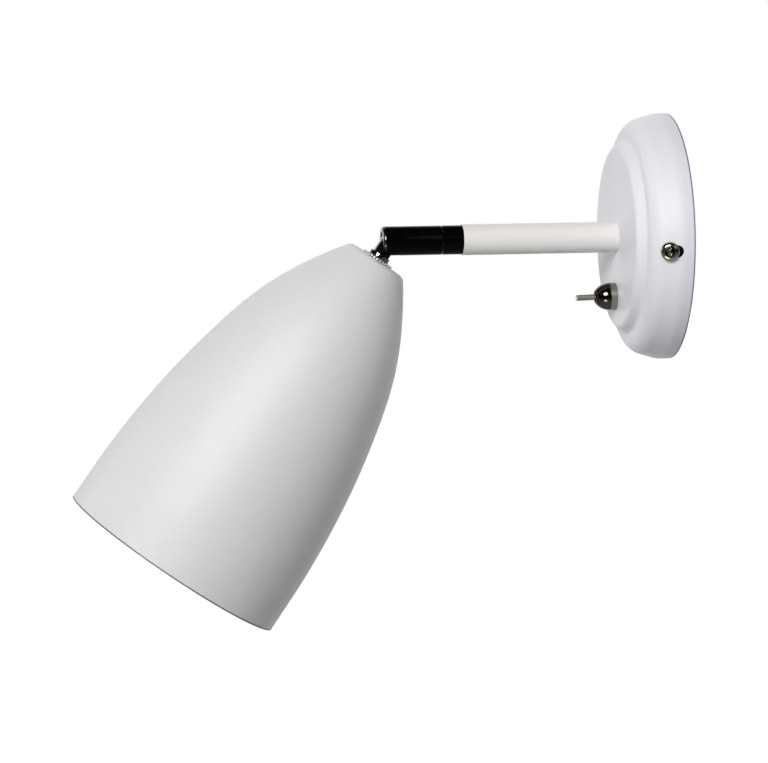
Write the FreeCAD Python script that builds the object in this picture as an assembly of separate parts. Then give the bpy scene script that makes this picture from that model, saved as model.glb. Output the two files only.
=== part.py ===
"""Bedside wall reading lamp: wall cup, straight arm, swivel knuckle and a tilting bell shade.

All sizes are in millimetres.  +Z is up, the wall is the plane Y = 0 and the lamp reaches out along -Y.
The origin is the centre of the wall cup on the wall.

Pieces are drawn in two local frames and then put in place.
  Arm frame:  X is the same X, Y is up, Z runs straight out from the wall.
  Head frame: X is the same X, the tilt pivot is the origin, Z runs down the shade to its mouth.
"""
import FreeCAD, Part
import math
import os

# ---------------------------------------------------------------- driving dimensions

# wall cup and arm
cup_radius = 60.0
cup_depth = 25.2
cup_wall = 1.0
arm_radius = 7.5
arm_wall = 1.05
arm_end = 102.0

# swivel and tilt
knuckle_radius = 7.1
collar_end = 111.8
knuckle_start = 112.4
knuckle_tip = 141.4
pivot_out = 137.3
tilt_from_vertical = 34.5
cheek_gap = 4.2
tongue_thickness = 3.4
tongue_eye_radius = 4.4
neck_width = 8.0

# shade and lamp
shade_top = 11.0
shade_length = 177.6
shade_wall = 1.0
thread_radius = 4.9
thread_hole_radius = 5.1
lampholder_radius = 13.5
globe_radius = 22.5

# toggle switch
switch_drop = 29.3
lever_radius = 1.45
lever_throw = 24.0
cap_nut_length = 10.0

# running clearance on a radius, and the gap between pieces that are pressed together
running = 0.05
snug = 0.02

# shade's outer curve: a rounded corner round the flat top, then a bell through these
# (distance below the top, radius) places
shade_corner_start = 13.0
shade_corner_radius = 4.2
shade_corner_turn = 55.0
shade_curve = [(18.0, 27.0), (40.0, 38.0), (70.0, 47.0), (110.0, 54.35), (150.0, 57.7), (shade_length, 58.1)]


# ---------------------------------------------------------------- shaping helpers

def point(x, y, z):
    return FreeCAD.Vector(x, y, z)


def turned(outline):
    """A solid of revolution about Z from its closed outline of (along, radius) corners."""
    corners = [point(radius, 0, along) for along, radius in outline]
    face = Part.Face(Part.makePolygon(corners + corners[:1]))
    return face.revolve(point(0, 0, 0), point(0, 0, 1), 360)


def soft_wire(outline):
    """An open wire of (along, radius, rounding) corners, each rounded by a tangent arc."""
    corners = [point(radius, 0, along) for along, radius, rounding in outline]
    edges = []
    pen = corners[0]
    for index in range(1, len(corners) - 1):
        corner = corners[index]
        rounding = outline[index][2]
        back = (corners[index - 1] - corner).normalize()
        onward = (corners[index + 1] - corner).normalize()
        half_angle = back.getAngle(onward) / 2
        reach = rounding / math.tan(half_angle)
        inward = (back + onward).normalize()
        arc_middle = corner + inward * (rounding / math.sin(half_angle) - rounding)
        arc_start = corner + back * reach
        arc_end = corner + onward * reach
        edges.append(Part.LineSegment(pen, arc_start).toShape())
        edges.append(Part.Arc(arc_start, arc_middle, arc_end).toShape())
        pen = arc_end
    edges.append(Part.LineSegment(pen, corners[-1]).toShape())
    return Part.Wire(edges)


def turned_soft(outline):
    """A solid of revolution whose outline starts and ends on the axis, with rounded corners between."""
    wire = soft_wire(outline)
    first = point(0, 0, outline[0][0])
    last = point(0, 0, outline[-1][0])
    closed = Part.Wire(wire.Edges + [Part.LineSegment(last, first).toShape()])
    return Part.Face(closed).revolve(point(0, 0, 0), point(0, 0, 1), 360)


def turned_sheet(wire, thickness):
    """Sheet metal spun to an open outline: the wire is the outer skin, the wall goes inwards."""
    inner = wire.makeOffset2D(thickness, 0, False, True)
    outer_ends = [wire.OrderedVertexes[0].Point, wire.OrderedVertexes[-1].Point]
    inner_ends = [inner.OrderedVertexes[0].Point, inner.OrderedVertexes[-1].Point]
    if outer_ends[0].distanceToPoint(inner_ends[0]) > outer_ends[0].distanceToPoint(inner_ends[1]):
        inner_ends.reverse()
    joins = [Part.LineSegment(outer_ends[end], inner_ends[end]).toShape() for end in (0, 1)]
    band = Part.Wire(Part.__sortEdges__(wire.Edges + inner.Edges + joins))
    return Part.Face(band).revolve(point(0, 0, 0), point(0, 0, 1), 360)


def rod(start, end, radius):
    return Part.makeCylinder(radius, end - start, point(0, 0, start))


def tube(start, end, outer, inner):
    return turned([(start, inner), (start, outer), (end, outer), (end, inner)])


def cross_rod(x_start, x_end, radius, y=0.0, z=0.0):
    """A round bar along X."""
    return Part.makeCylinder(radius, x_end - x_start, point(x_start, y, z), point(1, 0, 0))


def block(x_from, x_to, y_from, y_to, z_from, z_to):
    return Part.makeBox(x_to - x_from, y_to - y_from, z_to - z_from, point(x_from, y_from, z_from))


def hex_nut(start, end, across_flats, bore):
    """A hexagonal nut with its corners turned off at 30 degrees on both faces."""
    corner_radius = across_flats / math.sqrt(3)
    corners = []
    for side in range(7):
        turn = math.radians(60 * side + 30)
        corners.append(point(corner_radius * math.cos(turn), corner_radius * math.sin(turn), start))
    prism = Part.Face(Part.makePolygon(corners)).extrude(point(0, 0, end - start))
    flat_radius = across_flats / 2
    bevel = (corner_radius - flat_radius) * 0.6
    envelope = turned([(start, 0), (start, flat_radius), (start + bevel, corner_radius),
                       (end - bevel, corner_radius), (end, flat_radius), (end, 0)])
    return prism.common(envelope).cut(rod(start - 1, end + 1, bore))


def lead(route, radius):
    """An insulated lead: straight runs joined by tangent arcs as large as the runs allow."""
    stops = [point(*stop) for stop in route]
    edges = []
    pen = stops[0]
    for index in range(1, len(stops) - 1):
        corner = stops[index]
        back = stops[index - 1] - corner
        onward = stops[index + 1] - corner
        turn = math.pi - back.getAngle(onward)
        reach = 0.45 * min(back.Length, onward.Length)
        bend = reach / math.tan(turn / 2)
        back.normalize()
        onward.normalize()
        inward = (back + onward).normalize()
        arc_middle = corner + inward * (bend / math.cos(turn / 2) - bend)
        arc_end = corner + onward * reach
        edges.append(Part.LineSegment(pen, corner + back * reach).toShape())
        edges.append(Part.Arc(corner + back * reach, arc_middle, arc_end).toShape())
        pen = arc_end
    edges.append(Part.LineSegment(pen, stops[-1]).toShape())
    path = Part.Wire(edges)
    first_run = stops[1] - stops[0]
    section = Part.Wire(Part.makeCircle(radius, stops[0], first_run))
    return path.makePipeShell([section], True, False)


# ---------------------------------------------------------------- placing and writing

def out_from_wall(shape):
    """Arm frame to lamp frame: local Z turns to point out from the wall."""
    placed = shape.copy()
    placed.rotate(point(0, 0, 0), point(1, 0, 0), 90)
    return placed


def down_the_shade(shape):
    """Head frame to lamp frame: the head hangs from the pivot at its tilt in the photograph."""
    placed = shape.copy()
    placed.rotate(point(0, 0, 0), point(1, 0, 0), 180 - tilt_from_vertical)
    placed.translate(point(0, -pivot_out, 0))
    return placed


def write(name, shape):
    shape.exportStep("parts/" + name + ".step")


def write_arm_piece(name, *shapes):
    placed = [out_from_wall(shape) for shape in shapes]
    write(name, placed[0] if len(placed) == 1 else Part.makeCompound(placed))


def write_head_piece(name, *shapes):
    placed = [down_the_shade(shape) for shape in shapes]
    write(name, placed[0] if len(placed) == 1 else Part.makeCompound(placed))


# ---------------------------------------------------------------- wall cup and its bracket

plate_thickness = 1.5
strap_width = 20.0
strap_reach = 46.0
cable_hole_radius = 6.5
tab_width = 14.0
tab_outer = 57.7
tab_bend_height = 6.5
tab_top = 15.6
tab_thickness = 1.6
cup_side_start = 6.0
cup_side_end = 19.4
cup_side_end_radius = 56.0
cup_side_slope = math.atan2(cup_radius - cup_side_end_radius, cup_side_end - cup_side_start)
side_screw_out = 12.0
side_screw_shank = 1.95
side_screw_head = 4.6
side_screw_head_height = 3.4
side_screw_root = cup_radius - (side_screw_out - cup_side_start) * math.tan(cup_side_slope)
slot_spacing = 60.0
slot_width = 4.5
slot_length = 12.0
grommet_x = -15.0
earth_x = 17.5
earth_shank = 1.95
terminal_pitch = 8.0


def slot_cutter(centre_x, centre_y, length, width, z_from, z_to):
    """A round-ended slot along X, cut along Z."""
    half = (length - width) / 2
    cutter = block(-half, half, -width / 2, width / 2, z_from, z_to)
    for end in (-half, half):
        cutter = cutter.fuse(moved(rod(z_from, z_to, width / 2), end, 0, 0))
    return moved(cutter.removeSplitter(), centre_x, centre_y, 0)


def along_side_screw(shape, side):
    """Stand a piece drawn along Z square to the cup's sloping side, on the +X or the -X side."""
    placed = shape.copy()
    placed.rotate(point(0, 0, 0), point(0, 1, 0), side * (90 - math.degrees(cup_side_slope)))
    placed.translate(point(side * side_screw_root, 0, side_screw_out))
    return placed


def wall_bracket():
    """Steel cross strap: two slots for wall screws, and bent tabs tapped for the cup's side screws."""
    half_strap = strap_width / 2
    half_tab = tab_width / 2
    lobe_half_width = 14.0
    lobe_top = 35.0
    lean = math.tan(cup_side_slope)
    plate = block(-tab_outer, tab_outer, -half_tab, half_tab, 0, plate_thickness)
    plate = plate.fuse(block(-strap_reach, strap_reach, -half_strap, half_strap, 0, plate_thickness))
    plate = plate.fuse(block(-lobe_half_width, lobe_half_width, 0, lobe_top, 0, plate_thickness))
    for side in (-1, 1):
        outline = [(tab_outer, 0), (tab_outer, tab_bend_height)]
        outline.append((tab_outer - (tab_top - tab_bend_height) * lean, tab_top))
        inner_top = tab_outer - tab_thickness - (tab_top - tab_bend_height) * lean
        outline.append((inner_top, tab_top))
        outline.append((tab_outer - tab_thickness, tab_bend_height))
        outline.append((tab_outer - tab_thickness, 0))
        corners = [point(side * x, -half_tab, z) for x, z in outline]
        face = Part.Face(Part.makePolygon(corners + corners[:1]))
        plate = plate.fuse(face.extrude(point(0, tab_width, 0)))
    plate = plate.removeSplitter()
    for side in (-1, 1):
        slot_x = side * slot_spacing / 2
        plate = plate.cut(slot_cutter(slot_x, 0, slot_length, slot_width, -1, plate_thickness + 1))
        plate = plate.cut(along_side_screw(rod(-8, 2, side_screw_shank + snug), side))
    plate = plate.cut(moved(rod(-1, plate_thickness + 1, cable_hole_radius), grommet_x, 0, 0))
    return plate.cut(moved(rod(-1, plate_thickness + 1, earth_shank + snug), earth_x, 0, 0))


def wall_cup():
    """Spun steel cup: upright side, sloping shoulder, a soft step and a raised flat disc."""
    shoulder = soft_wire([(0, cup_radius, 0), (cup_side_start, cup_radius, 12),
                          (cup_side_end, cup_side_end_radius, 9), (20.6, 47.3, 2), (cup_depth, 43.9, 3),
                          (cup_depth, thread_hole_radius + 0.1, 0)])
    cup = turned_sheet(shoulder, cup_wall)
    cup = cup.cut(Part.makeCylinder(5.2, 10, point(0, -switch_drop, cup_depth - 5)))
    adjusting_slot_length = 9.0
    adjusting_slot_width = 6.0
    adjusting_slot_out = 10.1
    for side in (-1, 1):
        slot = slot_cutter(0, 0, adjusting_slot_length, adjusting_slot_width, cup_radius - 12, cup_radius + 2)
        slot.rotate(point(0, 0, 0), point(0, 1, 0), side * 90)
        slot.translate(point(0, 0, adjusting_slot_out))
        cup = cup.cut(slot)
    return cup


def side_screw(side):
    """Machine screw with a domed head and a cross recess."""
    dome = soft_wire([(0, 0, 0), (0, side_screw_head, 0.3), (1.6, side_screw_head, 1.5),
                      (side_screw_head_height, 2.4, 2.0), (side_screw_head_height, 0, 0)])
    axis_line = Part.LineSegment(point(0, 0, side_screw_head_height), point(0, 0, 0)).toShape()
    head = Part.Face(Part.Wire(dome.Edges + [axis_line])).revolve(point(0, 0, 0), point(0, 0, 1), 360)
    side_screw_length = 9.0
    recess_turn = 25.0
    recess_reach = 2.3
    recess_floor = side_screw_head_height - 1.7
    for recess_half_x, recess_half_y in ((recess_reach, 0.5), (0.5, recess_reach)):
        head = head.cut(block(-recess_half_x, recess_half_x, -recess_half_y, recess_half_y, recess_floor, 5))
    screw = head.fuse(rod(-side_screw_length, 0.5, side_screw_shank)).removeSplitter()
    screw.rotate(point(0, 0, 0), point(0, 0, 1), recess_turn)
    return along_side_screw(screw, side)


def cable_grommet():
    """Rubber grommet that lines the cable hole in the bracket."""
    groove = cable_hole_radius - 0.1
    lip_start = plate_thickness + 0.05
    return turned([(0.05, 4.0), (0.05, groove), (lip_start, groove), (lip_start, 8.0), (3.0, 8.0), (3.6, 7.2),
                   (3.6, 4.0)])


def slotted_screw(head_radius, head_height, shank_radius, shank_length, slot=0.7):
    """Cheese-head screw drawn along Z with the head's underside at Z = 0."""
    body = rod(0, head_height, head_radius).fuse(rod(-shank_length, 0.2, shank_radius)).removeSplitter()
    return body.cut(block(-head_radius, head_radius, -slot / 2, slot / 2, head_height * 0.5, head_height + 1))


def moved(shape, x, y, z):
    placed = shape.copy()
    placed.translate(point(x, y, z))
    return placed


terminal_low = 15.5
terminal_high = 32.5
terminal_back = plate_thickness + 0.05
terminal_front = 14.0
terminal_centre_out = 7.8
insert_radius = 2.7
terminal_columns = (-terminal_pitch, 0.0, terminal_pitch)
clamp_rows = (terminal_low + 4.5, terminal_high - 4.5)


def terminal_housing():
    """Three-pole connector strip: a barrel for each brass insert and a well over each clamp screw."""
    housing = block(-12, 12, terminal_low, terminal_high, terminal_back, 5.0)
    for x in terminal_columns:
        low_end = point(x, terminal_low, terminal_centre_out)
        barrel = Part.makeCylinder(3.8, terminal_high - terminal_low, low_end, point(0, 1, 0))
        housing = housing.fuse(barrel)
        for y in clamp_rows:
            housing = housing.fuse(Part.makeCylinder(3.0, terminal_front - terminal_centre_out,
                                                     point(x, y, terminal_centre_out)))
    for x in terminal_columns:
        barrel_start = point(x, terminal_low - 5, terminal_centre_out)
        housing = housing.cut(Part.makeCylinder(insert_radius + snug, 30, barrel_start, point(0, 1, 0)))
        for y in clamp_rows:
            housing = housing.cut(Part.makeCylinder(2.0, 10, point(x, y, terminal_centre_out)))
    return housing


def terminal_inserts():
    """Brass sleeves that the conductors are clamped in."""
    inserts = []
    for x in terminal_columns:
        start = point(x, terminal_low + 1, terminal_centre_out)
        length = terminal_high - terminal_low - 2
        sleeve = Part.makeCylinder(insert_radius, length, start, point(0, 1, 0))
        sleeve = sleeve.cut(Part.makeCylinder(1.5, length, start, point(0, 1, 0)))
        for y in clamp_rows:
            sleeve = sleeve.cut(Part.makeCylinder(1.3 + snug, 5, point(x, y, terminal_centre_out + 0.5)))
        inserts.append(sleeve)
    return inserts


def terminal_screws():
    """Clamp screws, two for each pole."""
    screws = []
    for x in terminal_columns:
        for y in clamp_rows:
            screws.append(moved(slotted_screw(1.7, 1.6, 1.3, 2.0, 0.5), x, y, terminal_centre_out + 3.0))
    return screws


# ---------------------------------------------------------------- toggle switch

switch_body_top = cup_depth - cup_wall - 2.6
switch_body_bottom = 7.0
bush_end = 33.4
bush_radius = 5.0
lever_pivot_out = 30.5
bush_bore = 2.75


def at_switch(shape):
    return moved(shape, 0, -switch_drop, 0)


def switch_body():
    """Moulded switch case with a stepped lid."""
    case = block(-10.5, 10.5, -6.5, 6.5, switch_body_bottom, switch_body_top - 1.5)
    case = case.makeFillet(0.8, [edge for edge in case.Edges if abs(edge.BoundBox.ZLength) > 10])
    lid = block(-9.7, 9.7, -5.9, 5.9, switch_body_top - 1.6, switch_body_top - snug)
    return at_switch(case.fuse(lid).removeSplitter())


def switch_bush():
    """Threaded bush, with a ball seat for the lever."""
    bush = turned([(switch_body_top, bush_bore), (switch_body_top, bush_radius), (bush_end, bush_radius),
                   (bush_end, 3.4), (bush_end - 0.9, bush_bore)])
    return at_switch(bush)


def switch_lock_washer():
    """Internal-tooth washer between the inner nut and the cup."""
    start = cup_depth - cup_wall - 0.55
    ring = tube(start, start + 0.5, 7.2, 6.1)
    teeth = 8
    for tooth in range(teeth):
        prong = block(bush_radius, 6.3, -0.8, 0.8, start, start + 0.5)
        prong.rotate(point(0, 0, 0), point(0, 0, 1), 360.0 * tooth / teeth)
        ring = ring.fuse(prong.cut(rod(start - 1, start + 2, bush_radius + running)))
    return at_switch(ring.removeSplitter())


def switch_cap_nut():
    """Plated cap nut: short cylinder, pointed dome and a round mouth for the lever."""
    base = cup_depth
    tip = cup_depth + cap_nut_length
    mouth = 2.95
    dome_start = base + 3.0
    skirt = 6.75
    thread = bush_radius + running
    lip = bush_end + 0.1
    mouth_edge = point(mouth + 0.35, 0, tip)
    dome = Part.Arc(point(skirt, 0, dome_start), point(5.55, 0, dome_start + 4.4), mouth_edge)
    below_dome = Part.makePolygon([point(thread, 0, base), point(skirt - 0.2, 0, base),
                                   point(skirt, 0, base + 0.25), point(skirt, 0, dome_start)])
    inside = Part.makePolygon([mouth_edge, point(mouth, 0, tip), point(mouth, 0, lip), point(thread, 0, lip),
                               point(thread, 0, base)])
    outline = Part.Wire(below_dome.Edges + [dome.toShape()] + inside.Edges)
    return at_switch(Part.Face(outline).revolve(point(0, 0, 0), point(0, 0, 1), 360))


def switch_lugs():
    """Two brass solder lugs with a wire hole each."""
    lugs = []
    for x in (-6.5, 6.5):
        lug = block(x - 0.3, x + 0.3, -1.4, 1.4, 2.9, switch_body_bottom - snug)
        lug = lug.cut(cross_rod(x - 2, x + 2, 0.6, 0, 4.0))
        lugs.append(at_switch(lug))
    return lugs


def toggle_lever():
    """Round lever on a ball, thrown sideways to its end stop."""
    ball_radius = bush_bore - 0.12
    visible_end = 15.5
    lever = Part.makeSphere(ball_radius)
    shaft = turned([(0, 0), (0, lever_radius), (visible_end - 0.4, lever_radius),
                    (visible_end, lever_radius - 0.4), (visible_end, 0)])
    tail = turned([(0, 0), (-6.2, 0), (-6.2, 0.6), (-5.6, 1.0), (0, 1.0)])
    lever = lever.fuse(shaft).fuse(tail).removeSplitter()
    lever.rotate(point(0, 0, 0), point(0, 1, 0), lever_throw / 2)
    return at_switch(moved(lever, 0, 0, lever_pivot_out))


# ---------------------------------------------------------------- arm

arm_bore = arm_radius - arm_wall
nipple_start = 14.0
nipple_end = cup_depth + 11.0
spigot_start = 92.4
collar_bore = 4.05
stop_pin_circle = 5.6
stop_pin_radius = 0.6
stop_pin_start = 107.0


def collar():
    """Fixed collar: its spigot is pressed into the arm and its bore carries the swivel spindle."""
    spigot_radius = arm_bore - snug
    body = turned([(spigot_start, collar_bore), (spigot_start, spigot_radius - 0.4),
                   (spigot_start + 0.4, spigot_radius), (arm_end, spigot_radius), (arm_end, knuckle_radius),
                   (collar_end - 0.3, knuckle_radius), (collar_end, knuckle_radius - 0.3),
                   (collar_end, collar_bore)])
    pin_hole = rod(stop_pin_start, collar_end + 1, stop_pin_radius + snug)
    return body.cut(moved(pin_hole, 0, stop_pin_circle, 0))


def stop_pin():
    """Pin that runs in the knuckle's ring groove and stops the swivel short of a full turn."""
    return moved(rod(stop_pin_start + 0.1, knuckle_start + 0.7, stop_pin_radius), 0, stop_pin_circle, 0)


# ---------------------------------------------------------------- swivel knuckle

spindle_radius = collar_bore - running
spindle_bore = 2.5
spindle_start = 89.6
spindle_end = 120.0
ring_groove_start = 90.3
ring_groove_end = 91.1
pivot_screw_radius = 1.5
pivot_head_radius = 2.7
pivot_head_outer = knuckle_radius - 0.6
slot_behind_pivot = 5.0
slot_above_pivot = neck_width / 2 + 0.3


def swivel_knuckle():
    """Turned fork: milled slot open to the tip and below, round seat for the tongue, ring groove behind."""
    body = turned_soft([(knuckle_start, 0, 0), (knuckle_start, knuckle_radius, 0.3),
                        (knuckle_tip, knuckle_radius, 2.2), (knuckle_tip, 0, 0)])
    half_gap = cheek_gap / 2
    slot_back = pivot_out - slot_behind_pivot
    below = -knuckle_radius - 1
    slot = block(-half_gap, half_gap, below, slot_above_pivot, slot_back, knuckle_tip + 1)
    seat = cross_rod(-half_gap, half_gap, tongue_eye_radius + 0.3, 0, pivot_out)
    body = body.cut(slot).cut(seat)
    body = body.cut(rod(knuckle_start - 1, spindle_end + 0.1, spindle_radius + snug))
    body = body.cut(rod(spindle_end - 1, pivot_out - 3, spindle_bore))
    groove = tube(knuckle_start - 1, knuckle_start + 1.9, 6.3, 4.9)
    lug = block(-0.25, 0.25, -7, -4, knuckle_start - 2, knuckle_start + 3)
    body = body.cut(groove.cut(lug))
    body = body.cut(cross_rod(-8, 5.8, pivot_screw_radius + snug, 0, pivot_out))
    return body.cut(cross_rod(-knuckle_radius - 2, -5.0, pivot_head_radius + 0.15, 0, pivot_out))


def swivel_spindle():
    """Hollow steel spindle pressed into the knuckle, with a groove for the retaining ring."""
    return turned([(spindle_start, spindle_bore), (spindle_start, spindle_radius - 0.3),
                   (spindle_start + 0.3, spindle_radius), (ring_groove_start, spindle_radius),
                   (ring_groove_start, 3.4), (ring_groove_end, 3.4), (ring_groove_end, spindle_radius),
                   (spindle_end, spindle_radius), (spindle_end, spindle_bore)])


def retaining_ring():
    """Open ring that snaps into the spindle's groove."""
    ring = tube(ring_groove_start + 0.05, ring_groove_end - 0.05, 5.6, 3.4 + snug)
    return ring.cut(block(-1.4, 1.4, 0, 8, ring_groove_start - 1, ring_groove_end + 1))


def disc_spring():
    """Coned spring washer that keeps the swivel stiff."""
    start = ring_groove_end
    end = spigot_start - 0.05
    sheet = 0.35
    return turned([(start, 4.2), (start, 4.6), (end - sheet, 6.0), (end, 6.0), (end, 5.6), (start + sheet, 4.2)])


def pivot_screw():
    """Tilt pivot: the head is sunk in the far cheek, the thread ends blind in the near one."""
    shank = cross_rod(-5.1, 5.6, pivot_screw_radius, 0, pivot_out)
    head = cross_rod(-pivot_head_outer, -5.0 - snug, pivot_head_radius, 0, pivot_out)
    slot_floor = 0.6 - pivot_head_outer
    driver_slot = block(-pivot_head_outer - 1, slot_floor, -0.35, 0.35, pivot_out - 4, pivot_out + 4)
    return shank.fuse(head).removeSplitter().cut(driver_slot)


def friction_washers():
    """Thin washers between the tongue and the cheeks; they make the tilt hold."""
    thickness = 0.33
    washers = []
    for start in (-cheek_gap / 2 + snug, cheek_gap / 2 - snug - thickness):
        washer = cross_rod(start, start + thickness, tongue_eye_radius - 0.3, 0, pivot_out)
        washers.append(washer.cut(cross_rod(start - 1, start + 2, pivot_screw_radius + snug, 0, pivot_out)))
    return washers


# ---------------------------------------------------------------- head: tongue, washers and shade

flange_start = 7.8
flange_end = 10.1
flange_radius = 5.3
stem_end = 22.2
stem_bore = 2.6


def tongue():
    """Tilting tongue: flat eye, waisted neck, round foot flange and a hollow threaded stem."""
    half_thickness = tongue_thickness / 2
    half_neck = neck_width / 2
    eye = cross_rod(-half_thickness, half_thickness, tongue_eye_radius)
    neck = block(-half_thickness, half_thickness, -half_neck, half_neck, 0, flange_start + 0.5)
    flare_height = 1.0
    flare_side = [(half_neck, flange_start - flare_height),
                  (half_neck + 0.3, flange_start - 0.4 * flare_height), (half_neck + 1.0, flange_start + 0.1)]
    flare_corners = flare_side + [(-across, along) for across, along in flare_side[::-1]]
    flare_outline = [point(-half_thickness, across, along) for across, along in flare_corners]
    flare_face = Part.Face(Part.makePolygon(flare_outline + flare_outline[:1]))
    flare = flare_face.extrude(point(tongue_thickness, 0, 0))
    foot = turned_soft([(flange_start, 0, 0), (flange_start, flange_radius, 0.8),
                        (flange_end, flange_radius, 0.8), (flange_end, 0, 0)])
    stem = rod(flange_end - 0.5, stem_end, thread_radius)
    body = eye.fuse(neck).fuse(flare).fuse(foot).fuse(stem).removeSplitter()
    body = body.cut(rod(flange_start + 0.9, stem_end + 1, stem_bore))
    body = body.cut(block(-1.0, 1.0, -half_neck - 3, -1.9, 3.0, flange_start + 1.2))
    return body.cut(cross_rod(-5, 5, pivot_screw_radius + running))


def toothed_washer():
    """External-tooth lock washer seen between the tongue's foot and the shade."""
    teeth = 28
    tip_radius = 7.95
    root_radius = 6.9
    corners = []
    tooth_profile = ((0.0, root_radius), (0.15, tip_radius), (0.5, tip_radius), (0.65, root_radius))
    for tooth in range(teeth):
        for share, radius in tooth_profile:
            turn = 2 * math.pi * (tooth + share) / teeth
            corners.append(point(radius * math.cos(turn), radius * math.sin(turn), flange_end + snug))
    thickness = shade_top - flange_end - 2 * snug
    plate = Part.Face(Part.makePolygon(corners + corners[:1])).extrude(point(0, 0, thickness))
    return plate.cut(rod(flange_end - 1, shade_top + 1, thread_radius + running))


def shade_skin(inset):
    """One skin of the shade, inset from its outside: the corner's arc and the bell curve, as edges."""
    turn = math.radians(shade_corner_turn)
    corner_radius = shade_corner_radius - inset
    centre = point(shade_corner_start, 0, shade_top + shade_corner_radius)

    def on_corner(angle):
        return centre + point(corner_radius * math.sin(angle), 0, -corner_radius * math.cos(angle))

    start_slope = point(math.cos(turn), 0, math.sin(turn))
    corner_reach = point(math.sin(turn), 0, -math.cos(turn))
    outer_start = centre + corner_reach * shade_corner_radius
    knots = [outer_start] + [point(radius, 0, shade_top + below) for below, radius in shade_curve]
    outer_bell = Part.BSplineCurve()
    outer_bell.interpolate(Points=knots, InitialTangent=start_slope * 9, FinalTangent=point(0.15, 0, 9))
    skin_points = []
    for knot in knots:
        slope = outer_bell.tangent(outer_bell.parameter(knot))[0]
        outward = point(slope.z, 0, -slope.x)
        skin_points.append(knot - outward * inset)
    skin_points[0] = on_corner(turn)
    bell = Part.BSplineCurve()
    bell.interpolate(Points=skin_points, InitialTangent=start_slope * 9, FinalTangent=point(0.15, 0, 9))
    corner = Part.Arc(on_corner(0), on_corner(turn / 2), on_corner(turn))
    return on_corner(0), corner.toShape(), bell.toShape(), skin_points[-1]


def shade():
    """Spun aluminium bell: flat top with a thread hole, small corner, one smooth curve, plain open mouth."""
    outer_top, outer_corner, outer_bell, outer_rim = shade_skin(0)
    inner_top, inner_corner, inner_bell, inner_rim = shade_skin(shade_wall)
    outer_hole = point(thread_hole_radius, 0, outer_top.z)
    inner_hole = point(thread_hole_radius, 0, inner_top.z)
    edges = [Part.LineSegment(outer_hole, outer_top).toShape(), outer_corner, outer_bell,
             Part.LineSegment(outer_rim, inner_rim).toShape(), inner_bell, inner_corner,
             Part.LineSegment(inner_top, inner_hole).toShape(),
             Part.LineSegment(inner_hole, outer_hole).toShape()]
    return Part.Face(Part.Wire(edges)).revolve(point(0, 0, 0), point(0, 0, 1), 360)


# ---------------------------------------------------------------- head: lampholder and lamp

inner_washer_end = shade_top + shade_wall + 1.0
shade_nut_end = inner_washer_end + 3.4
cap_start = shade_nut_end + 0.4
cap_end = 33.0
holder_floor = 36.0
holder_floor_end = 39.0
holder_end = 57.0
lamp_tip = 40.4
lamp_cap_radius = 6.95
lamp_cap_end = 60.0
globe_centre = 93.0
globe_start = 79.0
globe_wall = 1.0
contact_screw_x = 5.6
contact_screw_shank = 1.3
lampholder_wall = 1.7


def lampholder_cap():
    """Domed cap that screws on to the stem and closes the lampholder's top."""
    bore = lampholder_radius - lampholder_wall
    outer = [(cap_start, 7.2), (cap_start + 3.2, 7.2), (cap_start + 4.4, 9.6),
             (cap_start + 7.6, lampholder_radius - 0.7), (cap_start + 10.0, lampholder_radius),
             (cap_end, lampholder_radius)]
    inner = [(cap_end, bore), (cap_start + 10.0, bore), (cap_start + 7.9, 9.9), (cap_start + 5.5, 7.0),
             (cap_start + 5.5, thread_radius + snug), (cap_start, thread_radius + snug)]
    return turned(outer + inner)


def lampholder_body():
    """Body with an insulating floor between the terminals and the screw shell."""
    bore = 8.0
    upper_bore = lampholder_radius - lampholder_wall
    body = turned([(cap_end, upper_bore), (cap_end, lampholder_radius), (holder_end - 1.0, lampholder_radius),
                   (holder_end, lampholder_radius - 1.0), (holder_end, bore), (holder_floor_end, bore),
                   (holder_floor_end, 0), (holder_floor, 0), (holder_floor, upper_bore)])
    for x in (-contact_screw_x, contact_screw_x):
        screw_hole = rod(holder_floor - 1, holder_floor_end + 1, contact_screw_shank + snug)
        body = body.cut(moved(screw_hole, x, 0, 0))
    return body


def lampholder_screws():
    """Contact screws that clamp the head's leads."""
    screws = []
    for x in (-contact_screw_x, contact_screw_x):
        screw = slotted_screw(2.4, 1.6, contact_screw_shank, 2.6)
        screw.rotate(point(0, 0, 0), point(1, 0, 0), 180)
        screws.append(moved(screw, x, 0, holder_floor - snug))
    return screws


def lampholder_shell():
    """Brass screw shell, rolled with a coarse round thread."""
    crest = 7.9
    groove = 7.45
    pitch = 2.82
    sheet = 0.3
    outer = []
    inner = []
    start = holder_floor_end + 0.8
    turns = 5
    for step in range(turns):
        base = start + step * pitch
        outer += [(base, groove), (base + pitch / 2, crest)]
        inner += [(base, groove - sheet), (base + pitch / 2, crest - sheet)]
    outer.append((start + turns * pitch, groove))
    inner.append((start + turns * pitch, groove - sheet))
    return turned(outer + inner[::-1])


def lampholder_centre_contact():
    """Sprung brass tongue that meets the lamp's centre contact."""
    leaf = block(-4.2, 1.6, -1.6, 1.6, holder_floor_end + snug, holder_floor_end + 0.45)
    pad = block(-1.6, 1.6, -1.6, 1.6, holder_floor_end + 0.4, lamp_tip - running)
    return leaf.fuse(pad).removeSplitter()


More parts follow.
